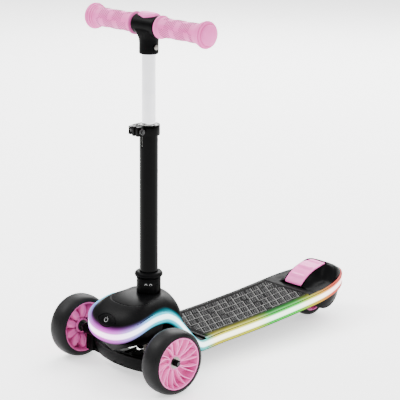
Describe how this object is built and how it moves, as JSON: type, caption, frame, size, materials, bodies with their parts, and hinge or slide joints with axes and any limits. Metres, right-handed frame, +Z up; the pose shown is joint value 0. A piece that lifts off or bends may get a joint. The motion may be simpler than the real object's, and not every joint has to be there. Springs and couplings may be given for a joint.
{
  "type": "kick scooter",
  "caption": "Child's kick scooter with lean-to-steer front wheels, an adjustable T-bar, a grip deck with a lit edge and a rear foot brake.",
  "frame": {"origin": "on the ground, midway along the overall length and on the middle plane: the centre of the bottom of the bounding box", "axes": "-Y is the direction of travel, +X the rider's left, +Z up along the T-bar"},
  "size_m": [0.32, 0.635, 0.668],
  "materials": {
    "tyre": "satin, moulded",
    "hub_pink": "glossy moulded",
    "black_plastic": "fine moulded grain",
    "black_paint": "glossy black paint",
    "chrome": "polished",
    "steel": "zinc plated",
    "grip_pink": "soft, dimpled",
    "pedal_pink": "satin moulded",
    "mat_rubber": "printed grip surface",
    "light_diffuser": "milky, lit from behind",
    "circuit": "solder mask",
    "nylon": "natural nylon",
    "battery_wrap": "shrink wrap"
  },
  "bodies": {
    "chassis": {"front_housing": "black_plastic", "housing_base": "black_plastic", "column_socket": "black_plastic", "button_bezel": "black_plastic", "button_spring": "steel", "front_light": "light_diffuser", "left_light": "light_diffuser", "right_light": "light_diffuser", "light_boards": "circuit", "control_board": "circuit", "housing_screws": "steel", "deck_body": "black_plastic", "deck_bottom": "black_plastic", "grip_mat": "mat_rubber", "battery_pack": "battery_wrap", "battery_door": "black_plastic", "deck_screws": "steel", "fender": "black_plastic", "brake_pin": "steel", "brake_spring": "steel", "rear_axle": "steel", "rear_nuts": "steel", "pivot_pin": "steel", "pivot_nut": "steel", "centring_springs": "steel"},
    "truck": {"axle_beam": "black_plastic", "left_axle": "steel", "right_axle": "steel", "axle_nuts": "black_paint"},
    "left_wheel": {"left_tyre": "tyre", "left_hub": "hub_pink", "left_bearings": "steel"},
    "right_wheel": {"right_tyre": "tyre", "right_hub": "hub_pink", "right_bearings": "steel"},
    "rear_wheel": {"rear_tyre": "tyre", "rear_hub": "hub_pink", "rear_bearings": "steel"},
    "column": {"outer_tube": "black_paint", "tube_flange": "black_plastic", "guide_bush": "nylon", "clamp_collar": "black_paint", "clamp_bolt": "steel", "clamp_nut": "steel", "clamp_pin": "steel"},
    "clamp_lever": {"clamp_lever": "black_paint"},
    "lock_collar": {"lock_collar": "black_plastic"},
    "upper_bar": {"inner_tube": "chrome", "bar_tube": "chrome", "t_housing": "black_plastic", "t_screws": "steel", "top_cover": "pedal_pink", "left_grip": "grip_pink", "right_grip": "grip_pink", "end_caps": "grip_pink"},
    "brake": {"brake_pedal": "pedal_pink", "brake_shoe": "tyre"},
    "mode_button": {"mode_button": "black_plastic"}
  },
  "joints": [
    {"name": "truck_steer", "type": "hinge", "parent": "chassis", "child": "truck", "pos_m": [0, -0.2175, 0.056], "axis": [0, -0.6428, 0.766], "range_deg": [-12, 12], "stiffness_Nm_per_rad": 25, "deforming": ["centring_springs"]},
    {"name": "left_wheel_spin", "type": "hinge", "parent": "truck", "child": "left_wheel", "pos_m": [0.131, -0.2575, 0.06], "axis": [1, 0, 0], "continuous": true},
    {"name": "right_wheel_spin", "type": "hinge", "parent": "truck", "child": "right_wheel", "pos_m": [-0.131, -0.2575, 0.06], "axis": [1, 0, 0], "continuous": true},
    {"name": "rear_wheel_spin", "type": "hinge", "parent": "chassis", "child": "rear_wheel", "pos_m": [0, 0.2395, 0.04], "axis": [1, 0, 0], "continuous": true},
    {"name": "column_pull", "type": "slide", "parent": "chassis", "child": "column", "axis": [0, 0, 1], "range_m": [0, 0.085]},
    {"name": "lock_twist", "type": "hinge", "parent": "chassis", "child": "lock_collar", "pos_m": [0, -0.1975, 0.16], "axis": [0, 0, 1], "range_deg": [0, 45]},
    {"name": "height_slide", "type": "slide", "parent": "column", "child": "upper_bar", "axis": [0, 0, 1], "range_m": [-0.12, 0.06]},
    {"name": "clamp_lever_swing", "type": "hinge", "parent": "column", "child": "clamp_lever", "pos_m": [-0.0153, -0.2235, 0.4525], "axis": [0, 0, 1], "range_deg": [0, 110]},
    {"name": "brake_press", "type": "hinge", "parent": "chassis", "child": "brake", "pos_m": [0, 0.2005, 0.078], "axis": [-1, 0, 0], "range_deg": [0, 5], "stiffness_Nm_per_rad": 8, "springref_deg": -5.73, "deforming": ["brake_spring"]},
    {"name": "button_press", "type": "slide", "parent": "chassis", "child": "mode_button", "axis": [0, 0.8572, -0.515], "range_m": [0, 0.0012], "stiffness_N_per_m": 800, "springref_m": -0.001, "deforming": ["button_spring"]}
  ]
}
